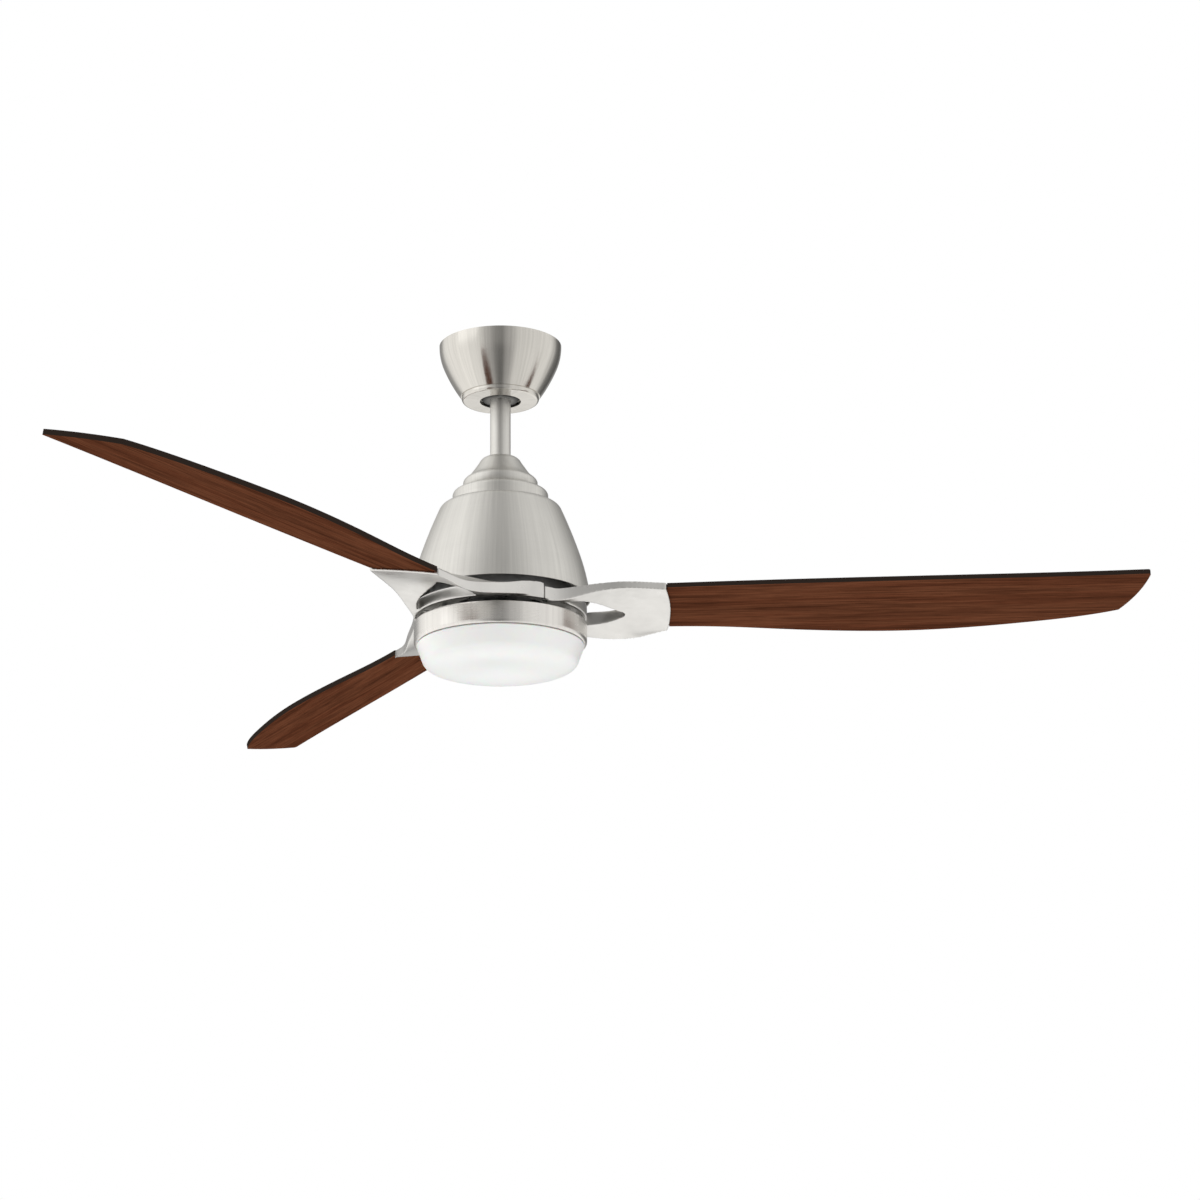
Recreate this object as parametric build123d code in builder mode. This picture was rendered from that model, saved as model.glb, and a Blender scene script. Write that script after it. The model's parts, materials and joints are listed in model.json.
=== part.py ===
from build123d import *
import math
import os

# Ceiling fan with light: ceiling mount, swinging motor unit, spinning rotor with three blades,
# and a glass that twists off.
#
# The origin is in the ceiling plane, in the middle of the outlet box screws. +Z is up, and everything hangs
# below the ceiling. Arms and blades are drawn pointing along +X and then turned to their own azimuths.

# ---------------------------------------------------------------- driving dimensions, millimetres and degrees
tip_radius = 762.0
blade_level = -333.0
blade_pitch = 12.4
blade_thickness = 5.9
blade_azimuths = (-4.1, -124.1, 115.9)

sheet = 1.5
fit_gap = 0.3

box_screw_spacing = 88.9
bracket_sheet = 2.0
bracket_width = 36.0
bracket_length = 112.0
leg_outside = 38.0

ball_radius = 30.0
ball_level = -48.0
ball_top = -26.0
ball_bottom = -70.0

canopy_radius = 73.7
canopy_rim = -1.0
canopy_floor = -65.0
canopy_floor_radius = 47.8
canopy_floor_hole = 28.0
canopy_screw_circle = 36.0
canopy_screw_angle = 135.0
cap_floor = -71.0
cap_radius = 46.6
cap_hole = 24.7

rod_radius = 12.3
rod_bore = 10.3
rod_bottom = -179.0
ball_pin_level = -33.0
clevis_level = -163.0
yoke_screw_level = -172.0

cover_top = -137.0
collar_top = -186.5
housing_top = -204.5
housing_bottom = -320.0
housing_radius = 107.0

yoke_radius = 19.0
yoke_top = -151.0
yoke_flange_radius = 46.0
yoke_flange = 4.0
housing_screw_circle = 36.0

shaft_radius = 10.0
shaft_bore = 6.0
shaft_top = -189.0
shaft_bottom = -356.0

bearing_outer = 18.5
bearing_width = 9.0
bearing_levels = {"upper": -261.5, "lower": -326.5}
bearing_ball_radius = 2.2
bearing_ball_count = 10

rotor_radius = 84.0
rotor_top_level = -268.0
rotor_split = -295.0
rotor_bottom_level = -329.1
rotor_wall = 4.0

stator_radius = 71.3
stator_level = -295.0
stator_height = 20.0
tooth_count = 12
tooth_width = 9.0
coil_start = 41.0

ring_radius = 102.5
ring_inner = 97.0
ring_top = -329.1
ring_bottom = -344.2
ring_seam_right = -56.0
ring_seam_left = 64.0
ring_seam = 0.5
arm_flange = 4.0
arm_flange_inner = 60.0
arm_screw_circle = 71.0
arm_screw_angles = (-38, 4, 46)

blade_screw_depth = 2.3
plate_end = 201.5
plate_lip = 3.6
pocket_start = 162.0

pan_radius = 102.4
pan_top = -350.0
pan_bottom = -376.3
tray_level = -372.0
glass_shoulder = -376.8
glass_bottom = -405.0
glass_wall = 3.2
glass_neck_radius = 93.5
glass_neck_top = -366.5
lug_count = 3
standoff_circle = 62.0
tray_radius = 88.5
board_radius = 66.0
chip_rows = ((16.0, 6), (34.0, 12), (52.0, 18))
driver_offset = 52.0
harness_radius = 2.5

os.makedirs("parts", exist_ok=True)


def save(builder, name):
    """Label a finished piece and write it as its own STEP file."""
    builder.part.label = name
    export_step(builder.part, f"parts/{name}.step")


def along_x(level, start):
    """A plane at a height on the axis that looks along +X, moved out to the start."""
    return Plane(origin=(start, 0, level), x_dir=(0, 1, 0), z_dir=(1, 0, 0))


def along_y(level, start):
    """A plane at a height on the axis that looks along +Y, moved out to the start."""
    return Plane(origin=(0, start, level), x_dir=(-1, 0, 0), z_dir=(0, 1, 0))


def turned_spots(circle, azimuth, angles):
    """Spots on a circle at some angles from an azimuth."""
    return [Vector(circle, 0).rotate(Axis.Z, azimuth + angle) for angle in angles]


def screw(head_radius, head_height, shank_radius, shank_length, drive_radius):
    """A pan head screw: head from the origin up, shank below it, with a hexagonal drive recess."""
    with BuildPart() as body:
        Cylinder(head_radius, head_height, align=(Align.CENTER, Align.CENTER, Align.MIN))
        fillet(body.edges().sort_by(Axis.Z)[-1], head_height * 0.45)
        Cylinder(shank_radius, shank_length, align=(Align.CENTER, Align.CENTER, Align.MAX))
        with BuildSketch(Plane.XY.offset(head_height)):
            RegularPolygon(drive_radius, 6)
        extrude(amount=-head_height * 0.6, mode=Mode.SUBTRACT)
    return body.part


# ---------------------------------------------------------------- ceiling mount

# U-shaped bracket: strap against the outlet box, two legs, and a round cradle plate for the ball.
cradle_top = canopy_floor + sheet + bracket_sheet
leg_height = -bracket_sheet - cradle_top
ground_screw_spot = (-leg_outside, -6.0, -14.0)
with BuildPart() as hanger_bracket:
    with BuildSketch(Plane.XY.offset(-bracket_sheet)):
        RectangleRounded(bracket_length, bracket_width, 8)
        Circle(11, mode=Mode.SUBTRACT)
        with GridLocations(box_screw_spacing, 0, 2, 1):
            SlotOverall(12, 5.2, mode=Mode.SUBTRACT)
    extrude(amount=bracket_sheet)
    for side in (-1, 1):
        inner = leg_outside - bracket_sheet / 2
        with BuildSketch(Plane.XY.offset(cradle_top)):
            with Locations((side * inner, 0)):
                Rectangle(bracket_sheet, bracket_width - 10)
        extrude(amount=leg_height)
    with BuildSketch(Plane.XY.offset(cradle_top - bracket_sheet)):
        Circle(42)
        with Locations((0, 42)):
            Rectangle(2 * rod_radius + 3, 84, mode=Mode.SUBTRACT)
        with PolarLocations(canopy_screw_circle, 2, start_angle=canopy_screw_angle):
            Circle(2.0, mode=Mode.SUBTRACT)
    extrude(amount=bracket_sheet)
    with Locations((0, 0, ball_level)):
        Sphere(ball_radius + fit_gap, mode=Mode.SUBTRACT)
    # the tab that stands in the ball's groove and stops the rod from turning
    with BuildSketch(Plane.XY.offset(cradle_top - bracket_sheet)):
        with Locations((0, -29.2)):
            Rectangle(4, 5.2)
    extrude(amount=12)
    with Locations(Plane(origin=ground_screw_spot, z_dir=(-1, 0, 0))):
        Cylinder(1.8, 6, mode=Mode.SUBTRACT)
save(hanger_bracket, "hanger_bracket")

with BuildPart() as ground_screw:
    head = screw(3.6, 2.2, 1.8, 7.0, 1.6)
    with Locations(Plane(origin=ground_screw_spot, z_dir=(-1, 0, 0))):
        add(head)
save(ground_screw, "ground_screw")

with BuildPart() as remote_receiver:
    with BuildSketch(Plane.XY.offset(-38)):
        with Locations((leg_outside + 8, 0)):
            RectangleRounded(16, 44, 2.5)
    extrude(amount=32)
    fillet(remote_receiver.faces().sort_by(Axis.Z)[-1].edges(), 1.2)
    with Locations(Plane(origin=(leg_outside + 16, 0, -22), z_dir=(1, 0, 0))):
        Box(34, 22, 0.8, align=(Align.CENTER, Align.CENTER, Align.MAX), mode=Mode.SUBTRACT)
    with BuildSketch(Plane.XY.offset(-38)):
        with GridLocations(0, 12, 1, 3):
            with Locations((leg_outside + 8, 0)):
                Circle(2.2)
    extrude(amount=-4)
save(remote_receiver, "remote_receiver")

# Bowl against the ceiling, with a floor that the bracket's cradle is screwed to.
with BuildPart() as canopy:
    with BuildSketch(Plane.XZ):
        with BuildLine():
            bowl_top = TangentArc((canopy_radius, canopy_rim), (68.3, -28.0), tangent=(0, -1))
            bowl = TangentArc(bowl_top @ 1, (canopy_floor_radius, canopy_floor), tangent=bowl_top % 1)
            Line(bowl @ 1, (canopy_floor_hole, canopy_floor))
            offset(amount=sheet, side=Side.RIGHT)
        make_face()
    revolve(axis=Axis.Z)
    with PolarLocations(canopy_screw_circle, 2, start_angle=canopy_screw_angle):
        Cylinder(2.4, 160, mode=Mode.SUBTRACT)
save(canopy, "canopy")

with BuildPart() as canopy_screws:
    head = screw(4.2, 2.6, 2.0, 7.0, 1.8)
    with Locations(Plane(origin=(0, 0, canopy_floor), x_dir=(1, 0, 0), z_dir=(0, 0, -1))):
        with PolarLocations(canopy_screw_circle, 2, start_angle=-canopy_screw_angle):
            add(head)
save(canopy_screws, "canopy_screws")

# Shallow trim ring that hides the canopy screws.
with BuildPart() as canopy_cap:
    with BuildSketch(Plane.XZ):
        with BuildLine():
            side_wall = Line((cap_radius, canopy_floor), (cap_radius, cap_floor + 3.2))
            corner = RadiusArc(side_wall @ 1, (cap_radius - 3.2, cap_floor), 3.2)
            Line(corner @ 1, (cap_hole, cap_floor))
            offset(amount=1.2, side=Side.RIGHT)
        make_face()
    revolve(axis=Axis.Z)
save(canopy_cap, "canopy_cap")

# ---------------------------------------------------------------- pendant: ball, rod and couplings

with BuildPart() as hanger_ball:
    with Locations((0, 0, ball_level)):
        Sphere(ball_radius)
    split(bisect_by=Plane.XY.offset(ball_top), keep=Keep.BOTTOM)
    split(bisect_by=Plane.XY.offset(ball_bottom), keep=Keep.TOP)
    Cylinder(rod_radius + 0.1, 300, mode=Mode.SUBTRACT)
    with BuildSketch(Plane.XY.offset(ball_pin_level - 2.7)):
        Rectangle(37, 5.4)
    extrude(amount=20, mode=Mode.SUBTRACT)
    # groove for the bracket's tab, round the axis that the ball swings about
    with BuildSketch(Plane.YZ.offset(-2.75)):
        with Locations((0, ball_level)):
            Circle(ball_radius + 3)
            Circle(25.4, mode=Mode.SUBTRACT)
        with Locations((50, ball_level)):
            Rectangle(100, 100, mode=Mode.SUBTRACT)
    extrude(amount=5.5, mode=Mode.SUBTRACT)
    with Locations(along_y(-44.0, 0)):
        Cylinder(2.5, 40, align=(Align.CENTER, Align.CENTER, Align.MIN), mode=Mode.SUBTRACT)
save(hanger_ball, "hanger_ball")

with BuildPart() as ball_pin:
    with BuildSketch(along_x(ball_pin_level, -18)):
        Circle(2.5)
    extrude(amount=36)
    chamfer(ball_pin.edges(), 0.5)
save(ball_pin, "ball_pin")

with BuildPart() as ball_set_screw:
    with BuildSketch(along_y(-44.0, rod_radius)):
        Circle(2.5)
    extrude(amount=12)
    with BuildSketch(along_y(-44.0, rod_radius + 12)):
        RegularPolygon(1.5, 6)
    extrude(amount=-4, mode=Mode.SUBTRACT)
save(ball_set_screw, "ball_set_screw")

with BuildPart() as downrod:
    with BuildSketch(Plane.XY.offset(rod_bottom)):
        Circle(rod_radius)
        Circle(rod_bore, mode=Mode.SUBTRACT)
    extrude(amount=ball_top - rod_bottom)
    chamfer(downrod.edges().group_by(Axis.Z)[-1], 0.5)
    with Locations(along_x(ball_pin_level, 0)):
        Cylinder(2.5, 60, mode=Mode.SUBTRACT)
    with Locations(along_x(clevis_level, 0)):
        Cylinder(3.0, 60, mode=Mode.SUBTRACT)
save(downrod, "downrod")

# Small bell over the joint of rod and motor, with a rounded ring at its foot.
with BuildPart() as coupling_cover:
    with BuildSketch(Plane.XZ):
        with BuildLine():
            land = Line((rod_radius + 0.5, cover_top), (15.0, cover_top))
            shoulder = ThreePointArc(land @ 1, (21.6, -141.6), (25.4, -149.0))
            cone = Line(shoulder @ 1, (31.6, -158.6))
            flare = TangentArc(cone @ 1, (36.4, -163.0), tangent=cone % 1)
            bead = TangentArc(flare @ 1, (44.7, -172.6), tangent=flare % 1)
            Line(bead @ 1, (44.7, collar_top))
            offset(amount=1.2, side=Side.RIGHT)
        make_face()
    revolve(axis=Axis.Z)
save(coupling_cover, "coupling_cover")

# Stepped ring between the coupling cover and the motor housing.
with BuildPart() as upper_collar:
    with BuildSketch(Plane.XZ):
        with BuildLine():
            ledge = Line((27.0, collar_top), (52.2, collar_top))
            shoulder = RadiusArc(ledge @ 1, (57.2, collar_top - 5.0), 5.0)
            Line(shoulder @ 1, (57.2, housing_top))
            offset(amount=1.2, side=Side.RIGHT)
        make_face()
    revolve(axis=Axis.Z)
save(upper_collar, "upper_collar")

# Coupling between the rod and the motor shaft. The housing hangs on its flange.
flange_top = housing_top - sheet
with BuildPart() as motor_yoke:
    with BuildSketch(Plane.XY.offset(flange_top)):
        Circle(yoke_radius)
    extrude(amount=yoke_top - flange_top)
    chamfer(motor_yoke.edges().group_by(Axis.Z)[-1], 1.0)
    with BuildSketch(Plane.XY.offset(flange_top)):
        Circle(yoke_flange_radius)
        with PolarLocations(housing_screw_circle, 4, start_angle=45):
            Circle(2.0, mode=Mode.SUBTRACT)
    extrude(amount=-yoke_flange)
    with BuildSketch(Plane.XY.offset(rod_bottom)):
        Circle(rod_radius + 0.1)
    extrude(amount=yoke_top - rod_bottom, mode=Mode.SUBTRACT)
    with BuildSketch(Plane.XY.offset(flange_top - yoke_flange)):
        Circle(shaft_radius)
    extrude(amount=shaft_top - flange_top + yoke_flange, mode=Mode.SUBTRACT)
    Cylinder(shaft_bore, 500, mode=Mode.SUBTRACT)
    with Locations(along_x(clevis_level, 0)):
        Cylinder(3.0, 60, mode=Mode.SUBTRACT)
    with Locations(along_y(yoke_screw_level, 0)):
        Cylinder(3.0, 60, mode=Mode.SUBTRACT)
save(motor_yoke, "motor_yoke")

with BuildPart() as clevis_pin:
    with BuildSketch(along_x(clevis_level, -yoke_radius)):
        Circle(3.0)
    extrude(amount=2 * yoke_radius + 7)
    with BuildSketch(along_x(clevis_level, -yoke_radius)):
        Circle(5.0)
    extrude(amount=-2.0)
    with Locations((yoke_radius + 3.5, 0, clevis_level)):
        Cylinder(0.9, 20, rotation=(90, 0, 0), mode=Mode.SUBTRACT)
save(clevis_pin, "clevis_pin")

# Hairpin through the clevis pin: one straight leg in the hole and one that springs round the pin.
with BuildPart() as hairpin_clip:
    clip_x = yoke_radius + 3.5
    with BuildLine() as clip_path:
        FilletPolyline(
            (clip_x, -7, clevis_level),
            (clip_x, 11, clevis_level),
            (clip_x, 14, clevis_level + 5.5),
            (clip_x, 7, clevis_level + 5.0),
            (clip_x, 0, clevis_level + 4.2),
            (clip_x, -6, clevis_level + 6.0),
            radius=1.4,
        )
    with BuildSketch(Plane(origin=clip_path.wires()[0] @ 0, z_dir=(0, 1, 0))):
        Circle(0.8)
    sweep()
save(hairpin_clip, "hairpin_clip")

with BuildPart() as yoke_set_screws:
    for side in (-1, 1):
        seat = Plane(origin=(0, side * rod_radius, yoke_screw_level), z_dir=(0, side, 0))
        with BuildSketch(seat):
            Circle(3.0)
        extrude(amount=9.5)
        with BuildSketch(seat.offset(9.5)):
            RegularPolygon(1.8, 6)
        extrude(amount=-4, mode=Mode.SUBTRACT)
save(yoke_set_screws, "yoke_set_screws")

# ---------------------------------------------------------------- pendant: housing, shaft and stator

with BuildPart() as motor_housing:
    with BuildSketch(Plane.XZ):
        with BuildLine():
            ledge = Line((yoke_radius + 1.0, housing_top), (64.0, housing_top))
            shoulder = TangentArc(ledge @ 1, (73.2, -210.5), tangent=(1, 0))
            dome = TangentArc(shoulder @ 1, (94.6, -266.0), tangent=shoulder % 1)
            TangentArc(dome @ 1, (housing_radius, housing_bottom), tangent=dome % 1)
            offset(amount=sheet, side=Side.RIGHT)
        make_face()
    revolve(axis=Axis.Z)
    with PolarLocations(housing_screw_circle, 4, start_angle=45):
        Cylinder(2.3, 500, mode=Mode.SUBTRACT)
save(motor_housing, "motor_housing")

with BuildPart() as housing_screws:
    head = screw(4.2, 2.6, 2.0, 6.5, 1.8)
    with Locations(Plane.XY.offset(housing_top)):
        with PolarLocations(housing_screw_circle, 4, start_angle=45):
            add(head)
save(housing_screws, "housing_screws")

with BuildPart() as motor_shaft:
    with BuildSketch(Plane.XY.offset(shaft_bottom)):
        Circle(shaft_radius)
        Circle(shaft_bore, mode=Mode.SUBTRACT)
    extrude(amount=shaft_top - shaft_bottom)
    chamfer(motor_shaft.edges().group_by(Axis.Z)[0], 0.8)
save(motor_shaft, "motor_shaft")

# Laminated core: a hub on the shaft and teeth that widen into tips at the air gap.
with BuildPart() as stator_core:
    with BuildSketch(Plane.XY.offset(stator_level - stator_height / 2)):
        Circle(38)
        with PolarLocations(0, tooth_count):
            with Locations((52, 0)):
                Rectangle(36, tooth_width)
        Circle(shaft_radius, mode=Mode.SUBTRACT)
    extrude(amount=stator_height)
    with BuildSketch(Plane.XY.offset(stator_level - stator_height / 2)):
        Circle(stator_radius)
        Circle(stator_radius - 4, mode=Mode.SUBTRACT)
        with PolarLocations(0, tooth_count, start_angle=180 / tooth_count):
            with Locations((stator_radius, 0)):
                Rectangle(12, 3, mode=Mode.SUBTRACT)
    extrude(amount=stator_height)
save(stator_core, "stator_core")

# One coil round each tooth.
with BuildPart() as stator_windings:
    for index in range(tooth_count):
        radial = Plane.XY.rotated((0, 0, index * 360 / tooth_count))
        start = radial.x_dir * coil_start + Vector(0, 0, stator_level)
        with BuildSketch(Plane(origin=start, x_dir=radial.y_dir, z_dir=radial.x_dir)):
            RectangleRounded(tooth_width + 8.4, stator_height + 10, 4)
            Rectangle(tooth_width, stator_height, mode=Mode.SUBTRACT)
        extrude(amount=24)
save(stator_windings, "stator_windings")

# ---------------------------------------------------------------- bearings

ball_circle = (shaft_radius + bearing_outer) / 2
race_wall = 2.4


def bearing_race(level, inner_radius, outer_radius):
    """One race, with the groove that the balls run in."""
    with BuildPart() as race:
        with BuildSketch(Plane.XY.offset(level - bearing_width / 2)):
            Circle(outer_radius)
            Circle(inner_radius, mode=Mode.SUBTRACT)
        extrude(amount=bearing_width)
        with BuildSketch(Plane.XZ):
            with Locations((ball_circle, level)):
                Circle(bearing_ball_radius + 0.05)
        revolve(axis=Axis.Z, mode=Mode.SUBTRACT)
    return race


for place, level in bearing_levels.items():
    save(bearing_race(level, shaft_radius, shaft_radius + race_wall), f"{place}_bearing_inner_race")
    save(bearing_race(level, bearing_outer - race_wall, bearing_outer), f"{place}_bearing_outer_race")

with BuildPart() as bearing_balls:
    for level in bearing_levels.values():
        with Locations(Plane.XY.offset(level)):
            with PolarLocations(ball_circle, bearing_ball_count):
                Sphere(bearing_ball_radius)
save(bearing_balls, "bearing_balls")

# ---------------------------------------------------------------- rotor

hub_radius = bearing_outer + 5
lug_circle = rotor_radius + 4


def rotor_cover(disc_level, hub_low, hub_high, seat_low, seat_high):
    """Half of the rotor case: a disc with a bearing hub, a skirt to the split, and four lugs."""
    upward = 1 if disc_level > rotor_split else -1
    with BuildPart() as cover:
        with BuildSketch(Plane.XY.offset(disc_level)):
            Circle(rotor_radius)
        extrude(amount=upward * rotor_wall)
        with BuildSketch(Plane.XY.offset(rotor_split)):
            Circle(rotor_radius)
            Circle(rotor_radius - rotor_wall, mode=Mode.SUBTRACT)
        extrude(amount=disc_level - rotor_split)
        with BuildSketch(Plane.XY.offset(rotor_split)):
            with PolarLocations(lug_circle - 2, 4, start_angle=30):
                RectangleRounded(14, 12, 3)
            Circle(rotor_radius - rotor_wall, mode=Mode.SUBTRACT)
            with PolarLocations(lug_circle + 1, 4, start_angle=30):
                Circle(1.8, mode=Mode.SUBTRACT)
        extrude(amount=upward * 5)
        with BuildSketch(Plane.XY.offset(hub_low)):
            Circle(hub_radius)
        extrude(amount=hub_high - hub_low)
        with BuildSketch(Plane.XY.offset(seat_low)):
            Circle(bearing_outer)
        extrude(amount=seat_high - seat_low, mode=Mode.SUBTRACT)
        Cylinder(shaft_radius + 3, 900, mode=Mode.SUBTRACT)
        with BuildSketch(Plane.XY.offset(disc_level - upward)):
            with PolarLocations(46, 6, start_angle=30):
                Circle(8)
            for azimuth in blade_azimuths if upward < 0 else ():
                with Locations(*turned_spots(arm_screw_circle, azimuth, arm_screw_angles)):
                    Circle(2.0)
        extrude(amount=upward * (rotor_wall + 2), mode=Mode.SUBTRACT)
    return cover


half = bearing_width / 2
upper, lower = bearing_levels["upper"], bearing_levels["lower"]
rotor_top = rotor_cover(rotor_top_level, rotor_top_level, upper + half + 2, upper - half, upper + half)
save(rotor_top, "rotor_top")
bottom_disc = rotor_bottom_level + rotor_wall
rotor_bottom = rotor_cover(bottom_disc, lower - half - 2, bottom_disc + 2, lower - half, lower + half)
save(rotor_bottom, "rotor_bottom")

# squirrel-cage ring held between the two covers
with BuildPart() as rotor_ring:
    with BuildSketch(Plane.XY.offset(stator_level - 13)):
        Circle(rotor_radius - rotor_wall)
        Circle(stator_radius + 0.7, mode=Mode.SUBTRACT)
    extrude(amount=26)
save(rotor_ring, "rotor_ring")

with BuildPart() as rotor_screws:
    head = screw(3.6, 2.6, 1.7, 11.0, 1.5)
    with Locations(Plane.XY.offset(rotor_split + 5)):
        with PolarLocations(lug_circle + 1, 4, start_angle=30):
            add(head)
save(rotor_screws, "rotor_screws")

# ---------------------------------------------------------------- blade arms


# The arm's lengthwise lines, each as (distance out from the axis, sideways, lower height, upper height).
# It leaves the ring level, and twists into the pitched tray: the left prong dips and the right one rises.
right_line = (
    (30, -80, -344.2, -329.1), (80, -74, -343.2, -328.6), (97, -69.5, -338.2, -325.4),
    (120, -64.8, -331.2, -321.2), (147, -60.4, -327.0, -318.2), (172, -54.5, -326.0, -317.6),
    (198, -47.6, -325.8, -317.0), (208, -47.6, -325.8, -317.0),
)
right_inner_line = (
    (30, -50, -344.2, -329.1), (80, -50, -344.0, -329.0), (97, -48, -340.4, -326.6),
    (120, -46, -333.6, -322.6), (147, -44, -328.6, -319.0), (172, -43, -327.0, -317.6),
    (198, -42, -327.2, -317.8), (208, -42, -327.2, -317.8),
)
left_inner_line = (
    (30, 34, -344.2, -329.1), (80, 34, -344.2, -329.1), (97, 34, -344.8, -328.2),
    (120, 33, -342.6, -327.0), (147, 36, -343.8, -331.4), (172, 41, -345.4, -336.0),
    (198, 42, -345.7, -336.3), (208, 42, -345.7, -336.3),
)
left_line = (
    (30, 96, -344.4, -329.1), (80, 78, -344.6, -329.6), (97, 71.5, -347.6, -334.2),
    (120, 66, -352.2, -339.2), (147, 58, -355.0, -343.4), (172, 54, -352.5, -343.2),
    (198, 48, -348.3, -340.0), (208, 48, -348.3, -340.0),
)


def beyond(inner, outer):
    """A point carried on in a straight line past the outline."""
    overhang = 16.0
    share = overhang / abs(outer[1] - inner[1])
    return (outer[0], *(outer[axis] + (outer[axis] - inner[axis]) * share for axis in (1, 2, 3)))


def arm_skin(level):
    """Smooth surface through the arm's lines at their lower (2) or upper (3) height."""
    rows = []
    for right, right_inner, left_inner, left in zip(right_line, right_inner_line, left_inner_line, left_line):
        row = [beyond(right_inner, right), right, right_inner, left_inner, left, beyond(left_inner, left)]
        rows.append([Vector(point[0], point[1], point[level]) for point in row])
    return Face.make_surface_from_array_of_points(rows, tol=0.3, min_deg=1, max_deg=3)


def pitched_plane(lift):
    """Plane of the blade's underside, lifted along its own normal."""
    tilted = Plane.XY.rotated((-blade_pitch, 0, 0))
    return Plane(origin=(0, 0, blade_level), x_dir=tilted.x_dir, z_dir=tilted.z_dir).offset(lift)


blade_screw_spots = [(174, -26), (174, 26), (189, 0)]

with BuildSketch() as arc_wedge:
    with BuildLine():
        wedge_reach = 400.0
        wedge_angles = (ring_seam_right + ring_seam / 2, 0, ring_seam_left - ring_seam / 2)
        wedge_corners = [
            (wedge_reach * math.cos(math.radians(angle)), wedge_reach * math.sin(math.radians(angle)))
            for angle in wedge_angles
        ]
        Polyline((0, 0), *wedge_corners, close=True)
    make_face()

with BuildPart() as arm_template:
    # outline seen from above, with the window between the two prongs
    with BuildSketch(Plane.XY.offset(ring_bottom - 30)):
        with BuildLine():
            right_side = Spline(
                (61.5, -82.0), (100, -69), (131, -63), (152, -59.5), (197.5, -47.6),
                tangents=[(0.8, 0.6), (1, 0.25)],
            )
            plate_curve = ThreePointArc(right_side @ 1, (plate_end, -1), (196.5, 48.0))
            left_side = Spline(
                plate_curve @ 1, (172, 54), (147, 58), (120, 66), (97, 71.5), (62, 84), (39.7, 94.6),
                tangents=[(-1, 0.35), (-0.92, 0.39)],
            )
            Line(left_side @ 1, (0, 0))
            Line((0, 0), right_side @ 0)
        make_face()
        with BuildLine():
            near_side = Spline((78, -62), (98, -51), (119, -23), (144.5, 9.0))
            tip_curve = ThreePointArc(near_side @ 1, (146.6, 14.6), (141.5, 21.5))
            far_side = Spline(tip_curve @ 1, (128, 29.5), (84, 32.5), tangents=[(-0.8, 0.6), (-1, 0.02)])
            Polyline(far_side @ 1, (60, 20), (60, -50), near_side @ 0)
        make_face(mode=Mode.SUBTRACT)
        Circle(ring_inner + 3.5, mode=Mode.SUBTRACT)
        add(arc_wedge.sketch, mode=Mode.INTERSECT)
    extrude(amount=90)
    extrude(arm_skin(2), amount=90, dir=(0, 0, 1), mode=Mode.INTERSECT)
    extrude(arm_skin(3), amount=90, dir=(0, 0, -1), mode=Mode.INTERSECT)
    # this arm's own arc of the ring band, and the inner flange that is screwed to the rotor
    for outer, inner, low in (
        (ring_radius, ring_inner, ring_bottom),
        (ring_inner + 1.5, arm_flange_inner, ring_top - arm_flange),
    ):
        with BuildSketch(Plane.XY.offset(low)):
            Circle(outer)
            Circle(inner, mode=Mode.SUBTRACT)
            add(arc_wedge.sketch, mode=Mode.INTERSECT)
        extrude(amount=ring_top - low)
    # tray for the root of the blade
    with BuildSketch(pitched_plane(0)):
        with Locations((pocket_start + 30, 0)):
            Rectangle(60, 2 * (47.8 - plate_lip), mode=Mode.ADD)
        fillet(vertices().group_by(Axis.X)[0], 6)
    extrude(amount=60, mode=Mode.SUBTRACT)
    for spot in blade_screw_spots:
        with BuildSketch(pitched_plane(-blade_screw_depth)):
            with Locations(spot):
                Circle(2.3)
        extrude(amount=30, mode=Mode.SUBTRACT)
    with BuildSketch(Plane.XY.offset(ring_bottom)):
        with Locations(*turned_spots(arm_screw_circle, 0, arm_screw_angles)):
            Circle(2.3)
    extrude(amount=30, mode=Mode.SUBTRACT)

with BuildPart() as blade_template:
    with BuildSketch(pitched_plane(0)):
        with BuildLine():
            right_edge = Spline(
                (198.6, -47.6), (470, -52.6), (tip_radius - 4, -57.0), tangents=[(1, -0.03), (1, -0.04)]
            )
            tip_cut = ThreePointArc(right_edge @ 1, (747, -13), (727, 28.6))
            left_edge = Spline(
                tip_cut @ 1, (620, 55), (470, 69.8), (320, 58.2), (198.2, 47.9),
                tangents=[(-0.75, 0.3), (-1, -0.01)],
            )
            ThreePointArc(left_edge @ 1, (plate_end + 1.2, -1), right_edge @ 0)
        make_face()
        fillet(vertices().group_by(Axis.X)[-1], 3)
        with Locations(((pocket_start + plate_end) / 2 + 1, 0)):
            Rectangle(plate_end - pocket_start + 1, 2 * (47.4 - plate_lip))
        fillet(vertices().group_by(Axis.X)[0], 5.5)
    extrude(amount=blade_thickness)
    for spot in blade_screw_spots:
        with BuildSketch(pitched_plane(0)):
            with Locations(spot):
                Circle(2.4)
        extrude(amount=blade_thickness, mode=Mode.SUBTRACT)

with BuildPart() as blade_screw_template:
    head = screw(4.6, 2.6, 2.3, blade_thickness + 1.0 + blade_screw_depth - 0.1, 1.9)
    with Locations(pitched_plane(blade_thickness + 1.0)):
        with Locations(*blade_screw_spots):
            add(head)

with BuildPart() as blade_washer_template:
    with BuildSketch(pitched_plane(blade_thickness)):
        with Locations(*blade_screw_spots):
            Circle(6.5)
            Circle(2.4, mode=Mode.SUBTRACT)
    extrude(amount=1.0)

for number, azimuth in enumerate(blade_azimuths, start=1):
    with BuildPart() as turned_arm:
        add(arm_template.part, rotation=(0, 0, azimuth))
    save(turned_arm, f"blade_arm_{number}")
    with BuildPart() as turned_blade:
        add(blade_template.part, rotation=(0, 0, azimuth))
    save(turned_blade, f"blade_{number}")

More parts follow.
